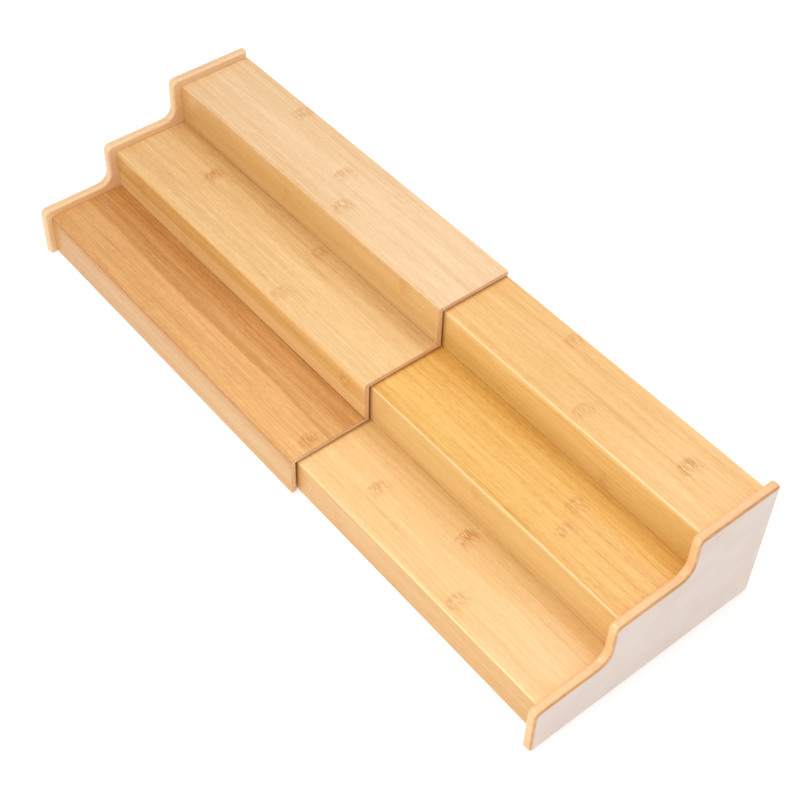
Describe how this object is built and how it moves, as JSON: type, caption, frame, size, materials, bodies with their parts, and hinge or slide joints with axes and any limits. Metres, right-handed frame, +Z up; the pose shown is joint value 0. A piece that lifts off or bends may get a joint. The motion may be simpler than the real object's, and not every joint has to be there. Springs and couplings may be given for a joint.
{
  "type": "spice rack",
  "caption": "Expandable stepped spice rack of thin bamboo boards: two step-shaped half shelves, one lapping over the other, slide apart along their length.",
  "frame": {"origin": "bottom centre of the rack as it is set up, half extended, on the surface that it stands on", "axes": "+X along the length from the outer half to the inner half, +Y from the low front tier to the high back tier, +Z up"},
  "size_m": [0.628, 0.216, 0.121],
  "materials": {
    "bamboo_pale": "satin lacquer",
    "bamboo_honey": "satin lacquer",
    "bamboo_amber": "satin lacquer",
    "bamboo_panel": "satin lacquer"
  },
  "bodies": {
    "outer_half": {"outer_end_panel": "bamboo_panel", "outer_tread_low": "bamboo_amber", "outer_tread_mid": "bamboo_pale", "outer_tread_top": "bamboo_pale", "outer_riser_low": "bamboo_honey", "outer_riser_mid": "bamboo_amber", "outer_riser_top": "bamboo_amber"},
    "inner_half": {"inner_end_panel": "bamboo_panel", "inner_tread_low": "bamboo_pale", "inner_tread_mid": "bamboo_honey", "inner_tread_top": "bamboo_honey", "inner_riser_low": "bamboo_honey", "inner_riser_mid": "bamboo_honey", "inner_riser_top": "bamboo_honey", "inner_support_panel": "bamboo_panel"}
  },
  "joints": [
    {"name": "extend", "type": "slide", "parent": "outer_half", "child": "inner_half", "axis": [1, 0, 0], "range_m": [-0.2665, 0.028]}
  ]
}
